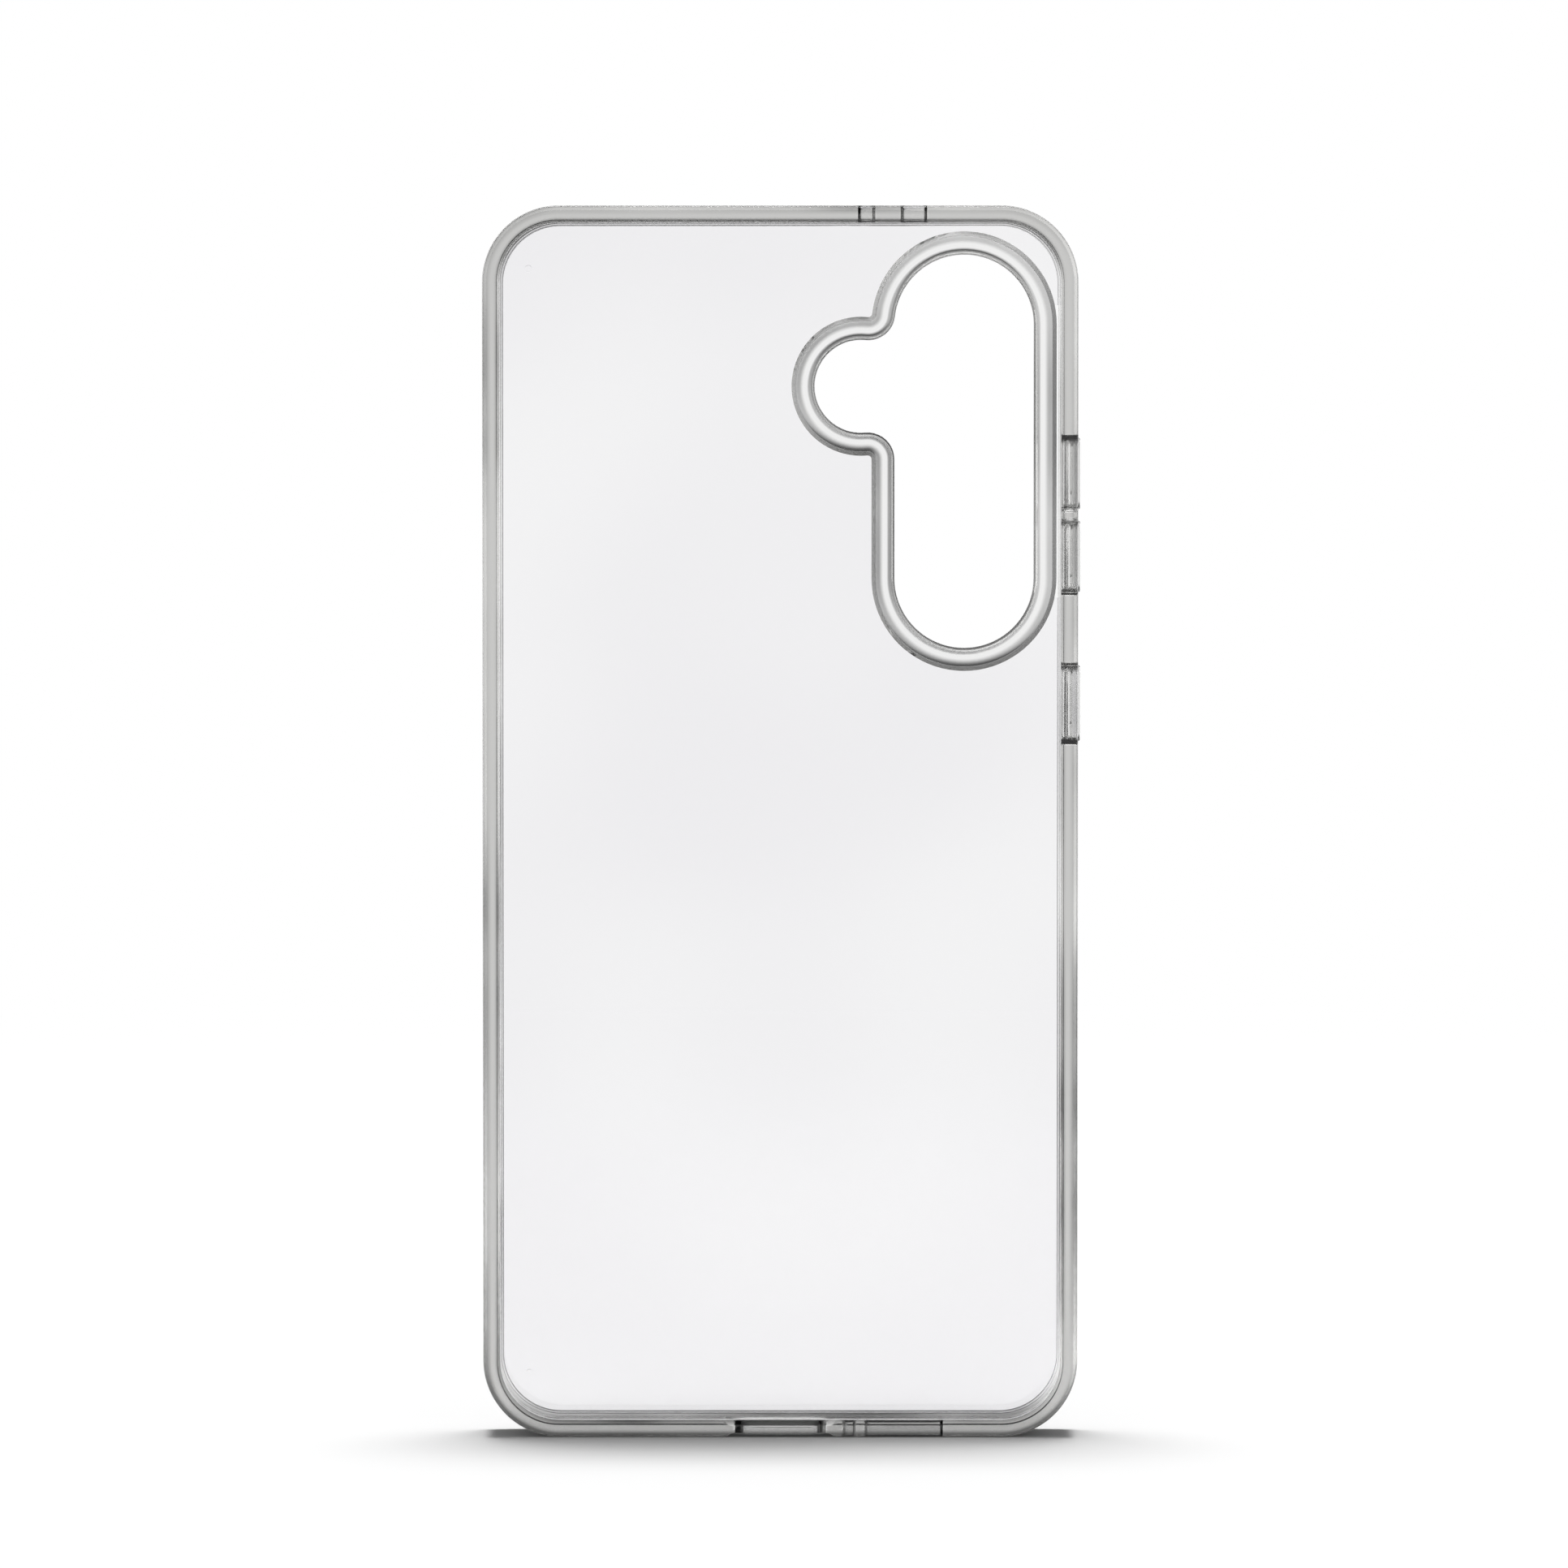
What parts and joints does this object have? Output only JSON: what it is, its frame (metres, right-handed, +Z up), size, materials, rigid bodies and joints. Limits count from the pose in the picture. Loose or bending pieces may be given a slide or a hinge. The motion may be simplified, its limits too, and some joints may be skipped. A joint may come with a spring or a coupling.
{
  "type": "phone case",
  "caption": "Clear slim phone case: hard back panel in a soft bumper frame, raised ring round the camera opening, and pressable side keys.",
  "frame": {"origin": "bottom centre of the bounding box, on the surface the case stands on", "axes": "+Z up the case's height, +X towards the side with the keys, +Y from the open front, where the phone goes in, to the back"},
  "size_m": [0.0797, 0.012, 0.1639],
  "materials": {
    "hard_clear": "clear polycarbonate, polished, very slightly cool grey",
    "soft_clear": "clear flexible polyurethane, smooth and slightly grey where it is thick"
  },
  "bodies": {
    "case": {"bumper_frame": "soft_clear", "back_panel": "hard_clear", "camera_bezel": "soft_clear", "volume_up_membrane": "soft_clear", "volume_down_membrane": "soft_clear", "power_membrane": "soft_clear"},
    "volume_up_button": {"volume_up_key": "soft_clear", "volume_up_rib": "soft_clear"},
    "volume_down_button": {"volume_down_key": "soft_clear", "volume_down_rib": "soft_clear"},
    "power_button": {"power_key": "soft_clear", "power_rib": "soft_clear"}
  },
  "joints": [
    {"name": "volume_up_press", "type": "slide", "parent": "case", "child": "volume_up_button", "axis": [-1, 0, 0], "range_m": [0, 0.0004], "stiffness_N_per_m": 2000, "deforming": ["volume_up_membrane"]},
    {"name": "volume_down_press", "type": "slide", "parent": "case", "child": "volume_down_button", "axis": [-1, 0, 0], "range_m": [0, 0.0004], "stiffness_N_per_m": 2000, "deforming": ["volume_down_membrane"]},
    {"name": "power_press", "type": "slide", "parent": "case", "child": "power_button", "axis": [-1, 0, 0], "range_m": [0, 0.0004], "stiffness_N_per_m": 2000, "deforming": ["power_membrane"]}
  ]
}
